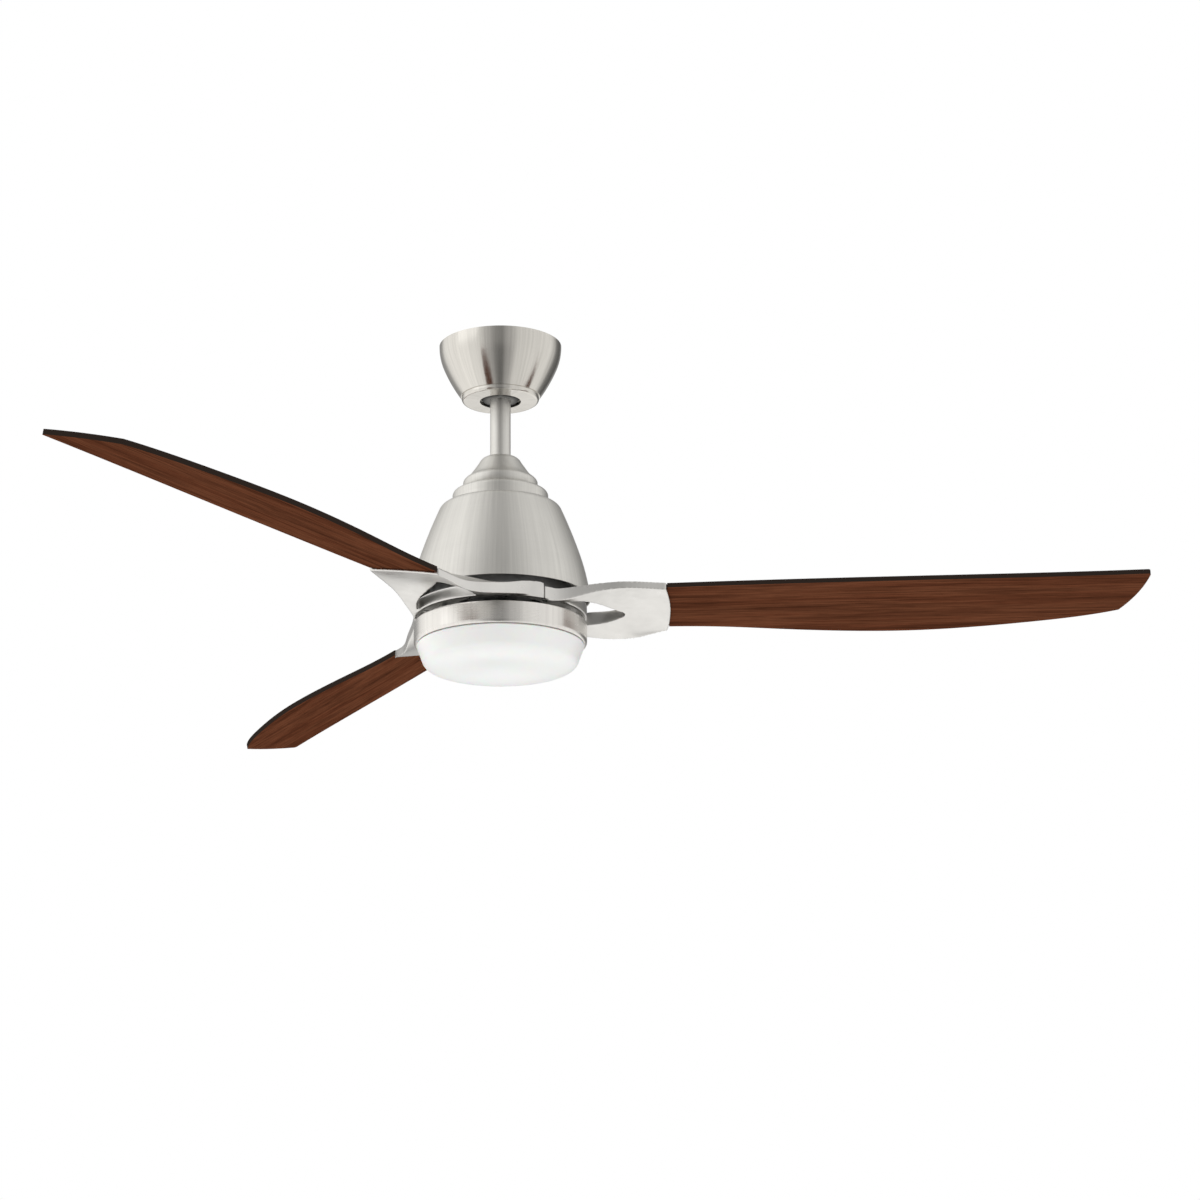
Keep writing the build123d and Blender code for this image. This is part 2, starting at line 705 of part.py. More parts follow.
with BuildPart() as blade_screws:
    for azimuth in blade_azimuths:
        add(blade_screw_template.part, rotation=(0, 0, azimuth))
save(blade_screws, "blade_screws")

with BuildPart() as blade_washers:
    for azimuth in blade_azimuths:
        add(blade_washer_template.part, rotation=(0, 0, azimuth))
save(blade_washers, "blade_washers")

with BuildPart() as arm_screws:
    head = screw(4.4, 2.8, 2.0, 7.5, 1.9)
    for azimuth in blade_azimuths:
        for spot in turned_spots(arm_screw_circle, azimuth, arm_screw_angles):
            seat = Plane(origin=(spot.X, spot.Y, ring_top - arm_flange), x_dir=(1, 0, 0), z_dir=(0, 0, -1))
            with Locations(seat):
                add(head)
save(arm_screws, "arm_screws")

# ---------------------------------------------------------------- light kit

plate_level = pan_top + 2.5
with BuildPart() as light_plate:
    with BuildSketch(Plane.XY.offset(pan_top)):
        Circle(42)
        Circle(shaft_radius, mode=Mode.SUBTRACT)
        with PolarLocations(28, lug_count, start_angle=90):
            Circle(1.8, mode=Mode.SUBTRACT)
    extrude(amount=plate_level - pan_top)
    with BuildSketch(Plane.XY.offset(plate_level)):
        Circle(16)
        Circle(shaft_radius, mode=Mode.SUBTRACT)
    extrude(amount=5)
save(light_plate, "light_plate")

with BuildPart() as shaft_nut:
    with BuildSketch(Plane.XY.offset(pan_top)):
        RegularPolygon(14.5, 6)
        Circle(shaft_radius, mode=Mode.SUBTRACT)
    extrude(amount=-5)
save(shaft_nut, "shaft_nut")

tab_low, tab_high = tray_level - 1.0, tray_level + 0.5
with BuildPart() as light_pan:
    with BuildSketch(Plane.XZ):
        with BuildLine():
            deck = Line((17.0, pan_top), (pan_radius - 2.4, pan_top))
            shoulder = RadiusArc(deck @ 1, (pan_radius, pan_top - 2.4), 2.4)
            band = Line(shoulder @ 1, (pan_radius, pan_bottom + 4.2))
            lip = TangentArc(band @ 1, (pan_radius - 2.8, pan_bottom), tangent=(0, -1))
            Line(lip @ 1, (95.4, pan_bottom))
            offset(amount=1.2, side=Side.RIGHT)
        make_face()
    revolve(axis=Axis.Z)
    # three tabs that carry the lugs of the glass
    with BuildSketch(Plane.XY.offset(tab_low)):
        with PolarLocations(0, lug_count):
            with Locations((80, 0)):
                Rectangle(60, 26)
        Circle(pan_radius - 0.6, mode=Mode.INTERSECT)
        Circle(glass_neck_radius + 0.6, mode=Mode.SUBTRACT)
    extrude(amount=tab_high - tab_low)
    with PolarLocations(28, lug_count, start_angle=90):
        Cylinder(2.1, 1000, mode=Mode.SUBTRACT)
    with PolarLocations(standoff_circle, lug_count, start_angle=30):
        Cylinder(1.8, 1000, mode=Mode.SUBTRACT)
save(light_pan, "light_pan")

with BuildPart() as light_pan_screws:
    head = screw(3.8, 2.2, 1.8, 4.0, 1.6)
    with Locations(Plane(origin=(0, 0, pan_top - 1.2), x_dir=(1, 0, 0), z_dir=(0, 0, -1))):
        with PolarLocations(28, lug_count, start_angle=-90):
            add(head)
save(light_pan_screws, "light_pan_screws")

with BuildPart() as tray_standoffs:
    with BuildSketch(Plane.XY.offset(tray_level)):
        with PolarLocations(standoff_circle, lug_count, start_angle=30):
            RegularPolygon(4.0, 6)
    extrude(amount=pan_top - 1.2 - tray_level)
save(tray_standoffs, "tray_standoffs")

# white reflector disc under the standoffs, with the light board on it
with BuildPart() as led_tray:
    with BuildSketch(Plane.XY.offset(tray_level)):
        Circle(tray_radius)
        Circle(9, mode=Mode.SUBTRACT)
        with PolarLocations(board_radius - 4.5, lug_count, start_angle=90):
            Circle(1.6, mode=Mode.SUBTRACT)
    extrude(amount=-1.2)
    with BuildSketch(Plane.XY.offset(tray_level)):
        Circle(tray_radius)
        Circle(tray_radius - 1.2, mode=Mode.SUBTRACT)
    extrude(amount=3)
save(led_tray, "led_tray")

board_level = tray_level - 1.2
with BuildPart() as led_board:
    with BuildSketch(Plane.XY.offset(board_level)):
        Circle(board_radius)
        Circle(9, mode=Mode.SUBTRACT)
        with PolarLocations(board_radius - 4.5, lug_count, start_angle=90):
            Circle(1.7, mode=Mode.SUBTRACT)
    extrude(amount=-1.6)
save(led_board, "led_board")

with BuildPart() as led_chips:
    with BuildSketch(Plane.XY.offset(board_level - 1.6)):
        for circle, count in chip_rows:
            with PolarLocations(circle, count):
                RectangleRounded(4, 3, 0.4)
    extrude(amount=-0.8)
save(led_chips, "led_chips")

with BuildPart() as board_screws:
    head = screw(3.0, 1.8, 1.6, 3.4, 1.3)
    with Locations(Plane(origin=(0, 0, board_level - 1.6), x_dir=(1, 0, 0), z_dir=(0, 0, -1))):
        with PolarLocations(board_radius - 4.5, lug_count, start_angle=-90):
            add(head)
save(board_screws, "board_screws")

driver_top = pan_top - 1.2
with BuildPart() as led_driver:
    with BuildSketch(Plane.XY.offset(driver_top)):
        with Locations((0, driver_offset)):
            RectangleRounded(86, 34, 3)
    extrude(amount=-15)
    fillet(led_driver.faces().sort_by(Axis.Z)[0].edges(), 1.5)
save(led_driver, "led_driver")

# Lead from the plug above the rod, past the two pins, down the hollow shaft and into the driver.
harness_top = ball_top + 10
harness_bottom = driver_top - 11
rod_side = 6.6
shaft_side = 2.9
driver_face = driver_offset - 17
with BuildPart() as lead_harness:
    with BuildLine():
        FilletPolyline(
            (0, rod_side, harness_top),
            (0, rod_side, clevis_level - 4),
            (0, shaft_side, rod_bottom - 1),
            (0, shaft_side, harness_bottom),
            (20, 14, harness_bottom),
            (20, driver_face, harness_bottom),
            radius=[20, 20, 7.0, 6],
        )
    with BuildSketch(Plane(origin=(0, rod_side, harness_top), z_dir=(0, 0, -1))):
        Circle(harness_radius)
    sweep()
save(lead_harness, "lead_harness")

with BuildPart() as harness_plug:
    with BuildSketch(Plane.XY.offset(harness_top)):
        with Locations((0, rod_side)):
            RectangleRounded(12, 8, 1)
    extrude(amount=9)
    chamfer(harness_plug.edges().group_by(Axis.Z)[-1], 0.8)
save(harness_plug, "harness_plug")

# ---------------------------------------------------------------- glass

# Opal bowl: a neck with three lugs inside the pan, a shoulder, a tapering wall and a shallow bottom.
with BuildPart() as glass_shade:
    with BuildSketch(Plane.XZ):
        with BuildLine():
            neck = Line((glass_neck_radius, glass_neck_top), (glass_neck_radius, glass_shoulder))
            step = Line(neck @ 1, (97.2, glass_shoulder))
            edge = RadiusArc(step @ 1, (98.8, glass_shoulder - 1.8), 1.7)
            wall = Line(edge @ 1, (92.6, -395.2))
            heel = Spline(wall @ 1, (82.5, -403.9), tangents=[(-0.3, -0.95), (-0.96, -0.28)])
            bottom = Spline(heel @ 1, (0, glass_bottom), tangents=[(-0.96, -0.28), (-1, 0)])
            inner_bottom = Line(bottom @ 1, (0, glass_bottom + glass_wall))
            floor = Spline(inner_bottom @ 1, (80.5, -401.0), tangents=[(1, 0), (0.96, 0.2)])
            inner_heel = Spline(floor @ 1, (89.4, -393.5), tangents=[(0.96, 0.2), (0.3, 0.95)])
            inner_wall = Line(inner_heel @ 1, (glass_neck_radius - glass_wall, glass_shoulder - 4))
            Line(inner_wall @ 1, (glass_neck_radius - glass_wall, glass_neck_top))
            Line((glass_neck_radius - glass_wall, glass_neck_top), neck @ 0)
        make_face()
    revolve(axis=Axis.Z)
    fillet(glass_shade.edges().group_by(Axis.Z)[-1], 1.0)
    with BuildSketch(Plane.XY.offset(tab_high + fit_gap)):
        with PolarLocations(0, lug_count):
            with Locations((84, 0)):
                Rectangle(40, 18)
        Circle(glass_neck_radius + 4.5, mode=Mode.INTERSECT)
        Circle(glass_neck_radius - 1, mode=Mode.SUBTRACT)
    extrude(amount=2.4)
save(glass_shade, "glass_shade")
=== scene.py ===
import json
import math
import bmesh
import bpy
from mathutils import Matrix, Vector


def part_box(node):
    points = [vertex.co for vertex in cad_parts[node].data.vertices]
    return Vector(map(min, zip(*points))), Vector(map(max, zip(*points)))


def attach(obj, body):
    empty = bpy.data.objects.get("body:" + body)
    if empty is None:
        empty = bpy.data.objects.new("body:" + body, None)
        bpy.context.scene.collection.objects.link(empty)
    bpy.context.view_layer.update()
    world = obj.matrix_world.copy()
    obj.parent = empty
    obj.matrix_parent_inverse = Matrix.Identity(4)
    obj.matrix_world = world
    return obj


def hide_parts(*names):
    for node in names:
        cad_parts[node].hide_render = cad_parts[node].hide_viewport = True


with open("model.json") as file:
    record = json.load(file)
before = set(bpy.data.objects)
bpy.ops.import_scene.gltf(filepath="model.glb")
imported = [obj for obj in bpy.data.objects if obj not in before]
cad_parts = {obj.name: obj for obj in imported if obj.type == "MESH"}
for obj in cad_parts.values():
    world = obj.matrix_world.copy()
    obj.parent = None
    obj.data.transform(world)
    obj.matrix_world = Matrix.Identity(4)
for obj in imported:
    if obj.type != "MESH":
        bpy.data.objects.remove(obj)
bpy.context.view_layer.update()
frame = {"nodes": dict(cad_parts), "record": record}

nodes = frame["nodes"]
# how the blades are set: degrees round the axis, degrees of pitch, and the height of their underside
blade_azimuths = {1: -4.1, 2: -124.1, 3: 115.9}
blade_pitch = 12.4
blade_level = -0.333


# ---------------------------------------------------------------- camera and light

def make_camera():
    """Stands below the fan and in front of it, and looks up at it through a long lens."""
    camera = bpy.data.objects.new("camera", bpy.data.cameras.new("camera"))
    bpy.context.scene.collection.objects.link(camera)
    camera.location = (0, -4.060, -1.532)
    camera.rotation_euler = (math.radians(90 + 16.62), 0, 0)
    camera.data.sensor_width = 36
    camera.data.lens = 107.31
    camera.data.shift_x = 0.083
    camera.data.clip_end = 100
    bpy.context.scene.camera = camera


def area_light(name, place, target, size, power):
    """A square soft box at a place, turned towards a target."""
    light = bpy.data.objects.new(name, bpy.data.lights.new(name, "AREA"))
    bpy.context.scene.collection.objects.link(light)
    light.location = place
    light.rotation_euler = (Vector(target) - Vector(place)).to_track_quat("-Z", "Y").to_euler()
    light.data.size = size
    light.data.energy = power


def make_floor():
    """A wide pale floor far below the fan."""
    mesh = bpy.data.meshes.new("studio_floor")
    reach, level = 90.0, -2.7
    corners = [(-reach, -reach, level), (reach, -reach, level), (reach, reach, level), (-reach, reach, level)]
    mesh.from_pydata(corners, [], [(0, 1, 2, 3)])
    floor = bpy.data.objects.new("studio_floor", mesh)
    bpy.context.scene.collection.objects.link(floor)
    paint = bpy.data.materials.new("floor_paint")
    paint.use_nodes = True
    shader = paint.node_tree.nodes["Principled BSDF"]
    shader.inputs["Base Color"].default_value = (0.86, 0.86, 0.86, 1)
    shader.inputs["Roughness"].default_value = 0.9
    shader.inputs["Emission Color"].default_value = (1, 1, 1, 1)
    shader.inputs["Emission Strength"].default_value = 0.25
    mesh.materials.append(paint)
    floor.visible_glossy = False


# how bright the studio is at each angle from the camera's side towards +X: level with the fan, and below it
level_bands = (
    (-180, 0.4), (-162, 0.26), (-148, 0.30), (-130, 0.85), (-110, 0.96), (-80, 0.93), (-43, 0.76),
    (-22, 0.45), (-8, 0.28), (2, 0.24), (15, 0.42), (41, 0.70), (77, 0.77), (106, 0.82), (120, 0.60),
    (134, 0.17), (150, 0.10), (165, 0.3), (180, 0.4),
)
low_bands = (
    (-180, 1.0), (-120, 1.0), (-80, 0.95), (-43, 0.78), (-22, 0.40), (-8, 0.18), (2, 0.14), (15, 0.34),
    (41, 0.70), (77, 0.80), (120, 0.85), (150, 0.92), (180, 1.0),
)


def make_world():
    """White studio: plain where it is seen direct, in bright and dark upright bands where it is reflected."""
    world = bpy.data.worlds.new("studio")
    bpy.context.scene.world = world
    world.use_nodes = True
    tree = world.node_tree
    tree.nodes.clear()
    add, link = tree.nodes.new, tree.links.new
    coordinates = add("ShaderNodeTexCoord")
    split = add("ShaderNodeSeparateXYZ")
    link(coordinates.outputs["Generated"], split.inputs[0])
    back_y = add("ShaderNodeMath")
    back_y.operation = "MULTIPLY"
    back_y.inputs[1].default_value = -1
    link(split.outputs["Y"], back_y.inputs[0])
    turn = add("ShaderNodeMath")
    turn.operation = "ARCTAN2"
    link(split.outputs["X"], turn.inputs[0])
    link(back_y.outputs[0], turn.inputs[1])
    share = add("ShaderNodeMapRange")
    share.inputs["From Min"].default_value = -math.pi
    share.inputs["From Max"].default_value = math.pi
    link(turn.outputs[0], share.inputs["Value"])
    below = add("ShaderNodeMapRange")
    below.interpolation_type = "SMOOTHSTEP"
    below.inputs["From Min"].default_value = -0.18
    below.inputs["From Max"].default_value = -0.42
    link(split.outputs["Z"], below.inputs["Value"])
    join = add("ShaderNodeMix")
    join.data_type = "RGBA"
    link(below.outputs["Result"], join.inputs[0])
    for brightness, socket in ((level_bands, join.inputs[6]), (low_bands, join.inputs[7])):
        bands = add("ShaderNodeValToRGB")
        stops = [((angle + 180) / 360, (shade, shade * 0.99, shade * 0.97)) for angle, shade in brightness]
        fill_ramp(bands, stops)
        bands.color_ramp.interpolation = "EASE"
        link(share.outputs["Result"], bands.inputs["Fac"])
        link(bands.outputs["Color"], socket)
    seen = add("ShaderNodeBackground")
    seen.inputs["Color"].default_value = (1, 1, 1, 1)
    reflected = add("ShaderNodeBackground")
    link(join.outputs[2], reflected.inputs["Color"])
    reflected.inputs["Strength"].default_value = 1.22
    path = add("ShaderNodeLightPath")
    mix = add("ShaderNodeMixShader")
    link(path.outputs["Is Camera Ray"], mix.inputs[0])
    link(reflected.outputs[0], mix.inputs[1])
    link(seen.outputs[0], mix.inputs[2])
    output = add("ShaderNodeOutputWorld")
    link(mix.outputs[0], output.inputs[0])


def fill_ramp(node, stops):
    """Gives a colour ramp these (position, colour) stops."""
    ramp = node.color_ramp.elements
    while len(ramp) < len(stops):
        ramp.new(1.0)
    for stop, (position, colour) in zip(ramp, stops):
        stop.position = position
        stop.color = (*colour, 1)


# ---------------------------------------------------------------- materials

class Paint:
    """A node material: its tree, its shader, and the few kinds of node the finishes are made from."""

    def __init__(self, name, **settings):
        self.material = bpy.data.materials.new(name)
        self.material.use_nodes = True
        self.tree = self.material.node_tree
        self.shader = self.tree.nodes["Principled BSDF"]
        for socket, value in settings.items():
            self.shader.inputs[socket.replace("_", " ")].default_value = value

    def add(self, kind, **settings):
        node = self.tree.nodes.new("ShaderNode" + kind)
        for name, value in settings.items():
            setattr(node, name, value)
        return node

    def link(self, source, target):
        self.tree.links.new(source, target)

    def place(self, scale=(1, 1, 1), rotation=(0, 0, 0)):
        """Where a point is on the object, turned and then stretched."""
        coordinates = self.add("TexCoord")
        turn = self.add("Mapping")
        turn.inputs["Rotation"].default_value = rotation
        self.link(coordinates.outputs["Object"], turn.inputs["Vector"])
        stretch = self.add("Mapping")
        stretch.inputs["Scale"].default_value = scale
        self.link(turn.outputs[0], stretch.inputs["Vector"])
        return stretch.outputs[0]

    def turned_place(self):
        """Where a point is on the object as height, radius and angle round the axis."""
        coordinates = self.add("TexCoord")
        split = self.add("SeparateXYZ")
        self.link(coordinates.outputs["Object"], split.inputs[0])
        x, y, height = (split.outputs[axis] for axis in "XYZ")
        squares = self.maths("ADD", self.maths("MULTIPLY", x, x), self.maths("MULTIPLY", y, y))
        return height, self.maths("SQRT", squares), self.maths("ARCTAN2", x, y)

    def around(self, along=1.0, about=1.0):
        """Round the axis: height and radius times along, and angle times about."""
        joined = self.add("CombineXYZ")
        for place, factor, socket in zip(self.turned_place(), (along, along, about), joined.inputs):
            self.link(self.maths("MULTIPLY", place, factor), socket)
        return joined.outputs[0]

    def maths(self, operation, first, second=None):
        node = self.add("Math", operation=operation)
        for socket, value in zip(node.inputs, (first, second)):
            if value is None:
                continue
            if isinstance(value, (int, float)):
                socket.default_value = value
            else:
                self.link(value, socket)
        return node.outputs[0]

    def noise(self, vector, scale, detail=3.0, rough=0.55):
        node = self.add("TexNoise")
        node.inputs["Scale"].default_value = scale
        node.inputs["Detail"].default_value = detail
        node.inputs["Roughness"].default_value = rough
        self.link(vector, node.inputs["Vector"])
        return node.outputs["Fac"]

    def ramp(self, value, *stops):
        node = self.add("ValToRGB")
        fill_ramp(node, stops)
        self.link(value, node.inputs["Fac"])
        return node.outputs["Color"]

    def spread(self, value, low, high):
        """Carries 0.3 to 0.7, where most noise lies, to low to high."""
        node = self.add("MapRange")
        for socket, number in zip(node.inputs[1:5], (0.3, 0.7, low, high)):
            socket.default_value = number
        self.link(value, node.inputs["Value"])
        return node.outputs["Result"]

    def mix(self, share, first, second, blend="MIX"):
        node = self.add("Mix", data_type="RGBA", blend_type=blend)
        for socket, value in zip((node.inputs[0], node.inputs[6], node.inputs[7]), (share, first, second)):
            if isinstance(value, (int, float, tuple)):
                socket.default_value = value
            else:
                self.link(value, socket)
        return node.outputs[2]

    def bump(self, height, strength, depth):
        node = self.add("Bump")
        node.inputs["Strength"].default_value = strength
        node.inputs["Distance"].default_value = depth
        self.link(height, node.inputs["Height"])
        self.link(node.outputs[0], self.shader.inputs["Normal"])

    def colour(self, source):
        self.link(source, self.shader.inputs["Base Color"])

    def rough(self, source):
        self.link(source, self.shader.inputs["Roughness"])


def brushed(name, tint, low, high, stretch, streak):
    """Nickel brushed upright: reflections run along its height, over faint turned lines, and upright colour
    streaks that are partly brushing marks and partly painted reflection.
    """
    paint = Paint(name, Metallic=1.0, Anisotropic=stretch, Anisotropic_Rotation=0.25)
    tangent = paint.add("Tangent", direction_type="RADIAL", axis="Z")
    paint.link(tangent.outputs[0], paint.shader.inputs["Tangent"])
    # the colour streaks are partly brushing marks and partly painted reflection streaks
    streaks = paint.noise(paint.around(6.0, 26.0), 1.0, 4.0, 0.7)
    clouds = paint.noise(paint.place(), 22.0, 3.0)
    dark = tuple(part * (1 - streak) for part in tint)
    light = tuple(min(1.0, part * (1 + streak * 0.6)) for part in tint)
    paint.colour(paint.ramp(streaks, (0.3, dark), (0.7, light)))
    lines = paint.noise(paint.around(900.0, 1.2), 1.0, 2.0)
    worn = paint.maths("ADD", paint.maths("MULTIPLY", lines, 0.6), paint.maths("MULTIPLY", clouds, 0.4))
    paint.rough(paint.spread(worn, low, high))
    paint.bump(lines, 0.06, 0.0002)
    return paint.material


def cast(name, tint, low, high, grain=700.0, strength=0.08, metallic=1.0, shade=0.75):
    """Cast or moulded skin: fine grain, soft clouds, and painted shade darkening its hollows."""
    paint = Paint(name, Metallic=metallic)
    clouds = paint.noise(paint.place(), 30.0, 4.0)
    skin = paint.noise(paint.place(), grain, 2.0)
    dark = tuple(part * 0.92 for part in tint)
    body = paint.ramp(clouds, (0.3, dark), (0.7, tint))
    # painted shade: concave places, found from pointiness, are darkened down to the shade level
    geometry = paint.add("NewGeometry")
    hollow_painted_shade = paint.ramp(geometry.outputs["Pointiness"], (0.42, (shade,) * 3), (0.5, (1, 1, 1)))
    paint.colour(paint.mix(1.0, body, hollow_painted_shade, "MULTIPLY"))
    paint.rough(paint.spread(paint.noise(paint.place(), 90.0, 5.0), low, high))
    paint.bump(skin, strength, 0.0002)
    return paint.material


def walnut(name, azimuth):
    """Lacquered walnut, its grain along one blade, with a near-black painted edge."""
    paint = Paint(name, Specular_IOR_Level=0.0)
    back = math.radians(-azimuth)
    length_scale = 1.6 + math.radians(azimuth) * 0.7 * 0.05
    figure = paint.noise(paint.place((length_scale, 24, 40), (0, 0, back)), 2.4, 6.0, 0.6)
    streaks = paint.noise(paint.place((5.0, 190, 190), (0, 0, back)), 1.6, 4.0, 0.65)
    pores = paint.noise(paint.place((38.0, 1500, 1500), (0, 0, back)), 1.0, 2.0, 0.5)
    wood = paint.ramp(figure, (0.34, (0.082, 0.028, 0.014)), (0.47, (0.135, 0.045, 0.022)),
                      (0.56, (0.160, 0.058, 0.029)), (0.68, (0.105, 0.036, 0.018)))
    streak_shade = paint.ramp(streaks, (0.36, (0.52, 0.50, 0.48)), (0.56, (1.08, 1.05, 1.02)))
    wood = paint.mix(0.75, wood, streak_shade, "MULTIPLY")
    pore_shade = paint.ramp(pores, (0.36, (0.45, 0.42, 0.40)), (0.48, (1, 1, 1)))
    wood = paint.mix(0.6, wood, pore_shade, "MULTIPLY")
    # the edges face sideways, away from the blade's own upright
    facing = paint.add("TexCoord")
    upright = paint.add("VectorMath", operation="DOT_PRODUCT")
    pitch, turn = math.radians(blade_pitch), math.radians(azimuth)
    upright.inputs[1].default_value = (-math.sin(turn) * math.sin(pitch), math.cos(turn) * math.sin(pitch),
                                       math.cos(pitch))
    paint.link(facing.outputs["Normal"], upright.inputs[0])
    face = paint.ramp(paint.maths("ABSOLUTE", upright.outputs["Value"]), (0.5, (0, 0, 0)), (0.8, (1, 1, 1)))
    paint.colour(paint.mix(face, (0.030, 0.022, 0.018, 1), wood))
    paint.rough(paint.spread(streaks, 0.52, 0.40))
    paint.bump(pores, 0.12, 0.0003)
    return paint.material


def opal():
    """Opal glass: white all through, satin outside, very slightly uneven, with a faint painted glow that
    lightens it.
    """
    # the faint emission is a painted glow that lightens the glass
    paint = Paint("opal_glass_finish", Subsurface_Weight=0.35, Subsurface_Scale=0.004, Coat_Weight=0.12,
                  Coat_Roughness=0.18, Emission_Strength=0.08, IOR=1.5)
    paint.shader.inputs["Emission Color"].default_value = (0.96, 1.0, 0.985, 1)
    cloud = paint.noise(paint.place(), 14.0, 3.0)
    paint.colour(paint.ramp(cloud, (0.3, (0.90, 0.92, 0.91)), (0.7, (0.95, 0.96, 0.955))))
    paint.rough(paint.spread(paint.noise(paint.place(), 60.0, 3.0), 0.30, 0.40))
    paint.bump(paint.noise(paint.place(), 9.0, 2.0), 0.05, 0.002)
    return paint.material


def turned(name, tint, low, high, lines=1600.0, depth=0.15):
    """Ground or turned steel, with its tool marks round the axis."""
    paint = Paint(name, Metallic=1.0)
    marks = paint.noise(paint.around(lines, 0.6), 1.0, 2.0)
    spots = paint.noise(paint.place(), 45.0, 4.0)
    paint.colour(paint.ramp(spots, (0.3, tuple(part * 0.85 for part in tint)), (0.7, tint)))
    paint.rough(paint.spread(marks, low, high))
    paint.bump(marks, depth, 0.0001)
    return paint.material


def layered(name, tint, gap, pitch_per_metre, metallic=1.0, rough=0.42):
    """Thin layers one on another, as in stacked sheets or wound wire."""
    paint = Paint(name, Metallic=metallic, Roughness=rough)
    wave = paint.add("TexWave", bands_direction="Z", wave_profile="SIN")
    wave.inputs["Scale"].default_value = pitch_per_metre
    wave.inputs["Distortion"].default_value = 0.6
    paint.link(paint.place(), wave.inputs["Vector"])
    paint.colour(paint.ramp(wave.outputs["Fac"], (0.12, gap), (0.45, tint)))
    paint.bump(wave.outputs["Fac"], 0.5, 0.0004)
    return paint.material


def zinc():
    """Bright zinc plate with faint bluish and yellowish spangle."""
    paint = Paint("zinc_plate_finish", Metallic=1.0)
    cells = paint.add("TexVoronoi")
    cells.inputs["Scale"].default_value = 160.0
    paint.link(paint.place(), cells.inputs["Vector"])
    paint.colour(paint.ramp(cells.outputs["Distance"], (0.0, (0.50, 0.54, 0.58)), (0.8, (0.66, 0.65, 0.60))))
    paint.rough(paint.spread(paint.noise(paint.place(), 120.0, 4.0), 0.22, 0.42))
    paint.bump(paint.noise(paint.place(), 800.0, 2.0), 0.05, 0.0002)
    return paint.material


def phosphor():
    """LED faces: yellow phosphor in a pale frame."""
    paint = Paint("led_phosphor_finish", Roughness=0.35, Coat_Weight=0.4)
    dots = paint.noise(paint.place(), 2600.0, 2.0)
    paint.colour(paint.ramp(dots, (0.35, (0.72, 0.50, 0.09)), (0.65, (0.88, 0.72, 0.22))))
    paint.bump(dots, 0.1, 0.0001)
    return paint.material


def ball_with_painted_shade():
    """The hanger ball: grey round the rod, and darkened by painted shade out towards the gap between it and
    the mouth of the cap.
    """
    rod_radius, underside_radius = 0.013, 0.020
    paint = Paint("grey_ball_finish", Roughness=0.55)
    radius = paint.turned_place()[1]
    out = paint.add("MapRange")
    out.inputs["From Min"].default_value = rod_radius
    out.inputs["From Max"].default_value = underside_radius
    paint.link(radius, out.inputs["Value"])
    # painted shade: darker the further from the rod, as if the cap shaded the gap
    paint.colour(paint.ramp(out.outputs["Result"], (0.2, (0.22, 0.22, 0.21)), (0.9, (0.03, 0.03, 0.03))))
    return paint.material


def sleeve():
    """Woven fibre sleeve over the lamp leads."""
    paint = Paint("lead_sleeve_finish", Roughness=0.75)
    weave = paint.add("TexMagic", turbulence_depth=1)
    weave.inputs["Scale"].default_value = 900.0
    paint.link(paint.place(), weave.inputs["Vector"])
    paint.colour(paint.ramp(weave.outputs["Fac"], (0.3, (0.015, 0.015, 0.016)), (0.8, (0.07, 0.068, 0.065))))
    paint.bump(weave.outputs["Fac"], 0.4, 0.0003)
    return paint.material


make_camera()
make_world()
make_floor()
area_light("key_soft_box", (-3.4, -1.6, 1.6), (0, 0, -0.3), 3.2, 10)
bpy.context.scene.view_settings.view_transform = "Standard"

canopy_nickel = brushed("canopy_nickel_finish", (0.66, 0.64, 0.60), 0.16, 0.25, 0.88, 0.10)
body_nickel = brushed("brushed_nickel_finish", (0.71, 0.70, 0.67), 0.43, 0.54, 0.35, 0.08)
pan_nickel = brushed("pan_nickel_finish", (0.79, 0.77, 0.74), 0.24, 0.34, 0.7, 0.08)
cast_nickel = cast("cast_nickel_finish", (0.71, 0.70, 0.68), 0.27, 0.38)
finishes = {
    "brushed_nickel": body_nickel,
    "cast_nickel": cast_nickel,
    "opal_glass": opal(),
    "zinc_steel": zinc(),
    "green_screw": cast("green_screw_finish", (0.05, 0.30, 0.10), 0.3, 0.45, strength=0.05, metallic=0.6),
    "grey_ball": ball_with_painted_shade(),
    "black_plastic": cast("black_plastic_finish", (0.03, 0.03, 0.03), 0.4, 0.6, metallic=0.0),
    "cast_steel": cast("cast_steel_finish", (0.30, 0.30, 0.30), 0.5, 0.7, grain=350.0, strength=0.35),
    "cast_aluminium": cast("cast_aluminium_finish", (0.55, 0.55, 0.56), 0.4, 0.6, grain=450.0, strength=0.25),
    "magnet_ring": cast("magnet_ring_finish", (0.07, 0.07, 0.08), 0.5, 0.7, grain=500.0, strength=0.3,
                        metallic=0.7),
    "lamination_steel": layered("lamination_finish", (0.36, 0.36, 0.38), (0.06, 0.06, 0.07), 320.0),
    "copper_winding": layered("copper_winding_finish", (0.60, 0.22, 0.08), (0.10, 0.03, 0.015), 160.0,
                              rough=0.3),
    "bearing_steel": turned("bearing_steel_finish", (0.72, 0.72, 0.74), 0.08, 0.2),
    "white_enamel": cast("white_enamel_finish", (0.86, 0.86, 0.85), 0.3, 0.45, metallic=0.0, shade=0.9),
    "led_phosphor": phosphor(),
    "driver_case": cast("driver_case_finish", (0.80, 0.80, 0.78), 0.45, 0.6, metallic=0.0, shade=0.85),
    "lead_sleeve": sleeve(),
    "fibre_washer": cast("fibre_washer_finish", (0.10, 0.08, 0.07), 0.7, 0.9, grain=300.0, strength=0.5,
                         metallic=0.0),
}
special = {"canopy": canopy_nickel, "canopy_cap": canopy_nickel, "light_pan": pan_nickel}
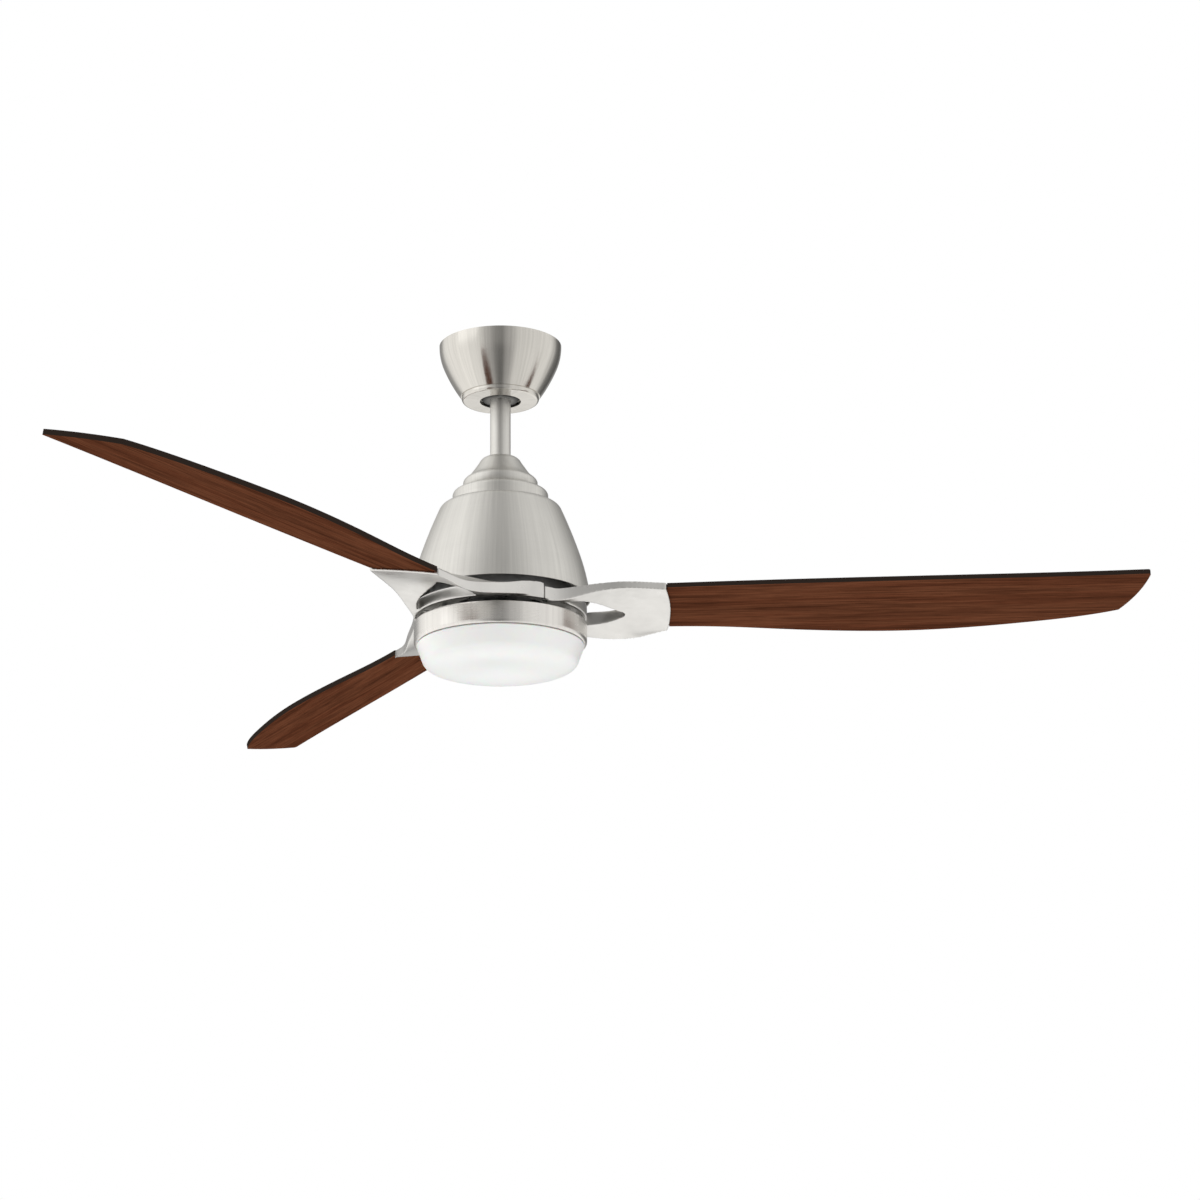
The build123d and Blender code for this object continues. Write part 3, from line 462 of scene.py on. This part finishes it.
for number, azimuth in blade_azimuths.items():
    special[f"blade_{number}"] = walnut(f"walnut_finish_{number}", azimuth)

for part in frame["record"]["subparts"]:
    name = part["node"]
    finish = special[name] if name in special else finishes[part["material_slot"]]
    nodes[name].data.materials.clear()
    nodes[name].data.materials.append(finish)


# ---------------------------------------------------------------- pieces

# the blade screws' places in the arm's tray, along the blade and across it, and the discs behind their holes
blade_screw_spots = ((0.174, -0.026), (0.174, 0.026), (0.189, 0.0))
disc_radius = 0.0024
disc_thickness = 0.0012
disc_level = -0.0019


def fill_screw_holes(mesh, azimuth):
    """Backs the blind holes of the blade screws, so that the skin under them stays even."""
    filled = bmesh.new()
    filled.from_mesh(mesh)
    tray = (Matrix.Rotation(math.radians(azimuth), 4, "Z") @ Matrix.Translation((0, 0, blade_level))
            @ Matrix.Rotation(math.radians(-blade_pitch), 4, "X"))
    for spot in blade_screw_spots:
        bmesh.ops.create_cone(filled, cap_ends=True, segments=24, radius1=disc_radius, radius2=disc_radius,
                              depth=disc_thickness, matrix=tray @ Matrix.Translation((*spot, disc_level)))
    filled.to_mesh(mesh)
    filled.free()


def new_piece(name, mesh):
    piece = bpy.data.objects.new(name, mesh)
    bpy.context.scene.collection.objects.link(piece)
    return piece


def settle(piece, finish):
    """Turns a piece's modifiers into its mesh and gives it its finish."""
    finished = bpy.data.meshes.new_from_object(piece.evaluated_get(bpy.context.evaluated_depsgraph_get()))
    piece.modifiers.clear()
    piece.data = finished
    finished.materials.clear()
    finished.materials.append(finish)


def cast_arm(number):
    """The arm as it leaves the die: one smooth skin over the CAD arm, its edges and creases rounded."""
    piece = new_piece(f"arm_casting_{number}", nodes[f"blade_arm_{number}"].data.copy())
    fill_screw_holes(piece.data, blade_azimuths[number])
    skin = piece.modifiers.new("skin", "REMESH")
    skin.mode = "VOXEL"
    skin.voxel_size = 0.0009
    skin.use_smooth_shade = True
    soften = piece.modifiers.new("soften", "SMOOTH")
    soften.factor = 0.5
    soften.iterations = 7
    settle(piece, cast_nickel)
    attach(piece, "rotor")
    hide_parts(f"blade_arm_{number}")


def bend(start, corner, end, steps=10):
    """Points of a round stretch that sets out towards a corner and comes in from it."""
    start, corner, end = Vector(start), Vector(corner), Vector(end)
    points = []
    for step in range(steps + 1):
        share = step / steps
        points.append(start.lerp(corner, share).lerp(corner.lerp(end, share), share))
    return points


def spun_cover():
    """The coupling cover as spun from sheet metal: a tight shoulder, a drawn-in waist and a rounded foot."""
    mouth_radius, foot_radius, sheet_thickness = 0.0130, 0.0446, 0.0012
    top_level, foot_level = -0.1429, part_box("coupling_cover")[0][2] + 0.0001
    # radius and height of its outside, from the mouth round the rod down to the foot
    outline = [(mouth_radius, top_level)]
    outline += bend((0.0152, top_level), (0.0222, -0.1430), (0.0258, -0.1508))
    outline += bend((0.0333, -0.1617), (0.0368, -0.1668), (0.0396, -0.1688))
    outline += bend((0.0396, -0.1688), (foot_radius, -0.1723), (foot_radius, -0.1752))[1:]
    outline += [(foot_radius, foot_level)]
    spun = bmesh.new()
    points = [spun.verts.new((radius, 0, height)) for radius, height in outline]
    edges = [spun.edges.new(pair) for pair in zip(points, points[1:])]
    bmesh.ops.spin(spun, geom=points + edges, cent=(0, 0, 0), axis=(0, 0, 1), angle=2 * math.pi, steps=192)
    bmesh.ops.remove_doubles(spun, verts=spun.verts, dist=0.00001)
    bmesh.ops.recalc_face_normals(spun, faces=spun.faces)
    widest = max(spun.faces, key=lambda face: face.calc_center_median().xy.length)
    if widest.normal.xy.dot(widest.calc_center_median().xy) < 0:
        bmesh.ops.reverse_faces(spun, faces=spun.faces)
    mesh = bpy.data.meshes.new("coupling_cover_spun")
    spun.to_mesh(mesh)
    spun.free()
    piece = new_piece("coupling_cover_spun", mesh)
    sheet = piece.modifiers.new("sheet", "SOLIDIFY")
    sheet.thickness = sheet_thickness
    sheet.offset = -1
    settle(piece, body_nickel)
    piece.data.shade_smooth()
    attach(piece, "pendant")
    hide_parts("coupling_cover")


for number in blade_azimuths:
    cast_arm(number)
spun_cover()
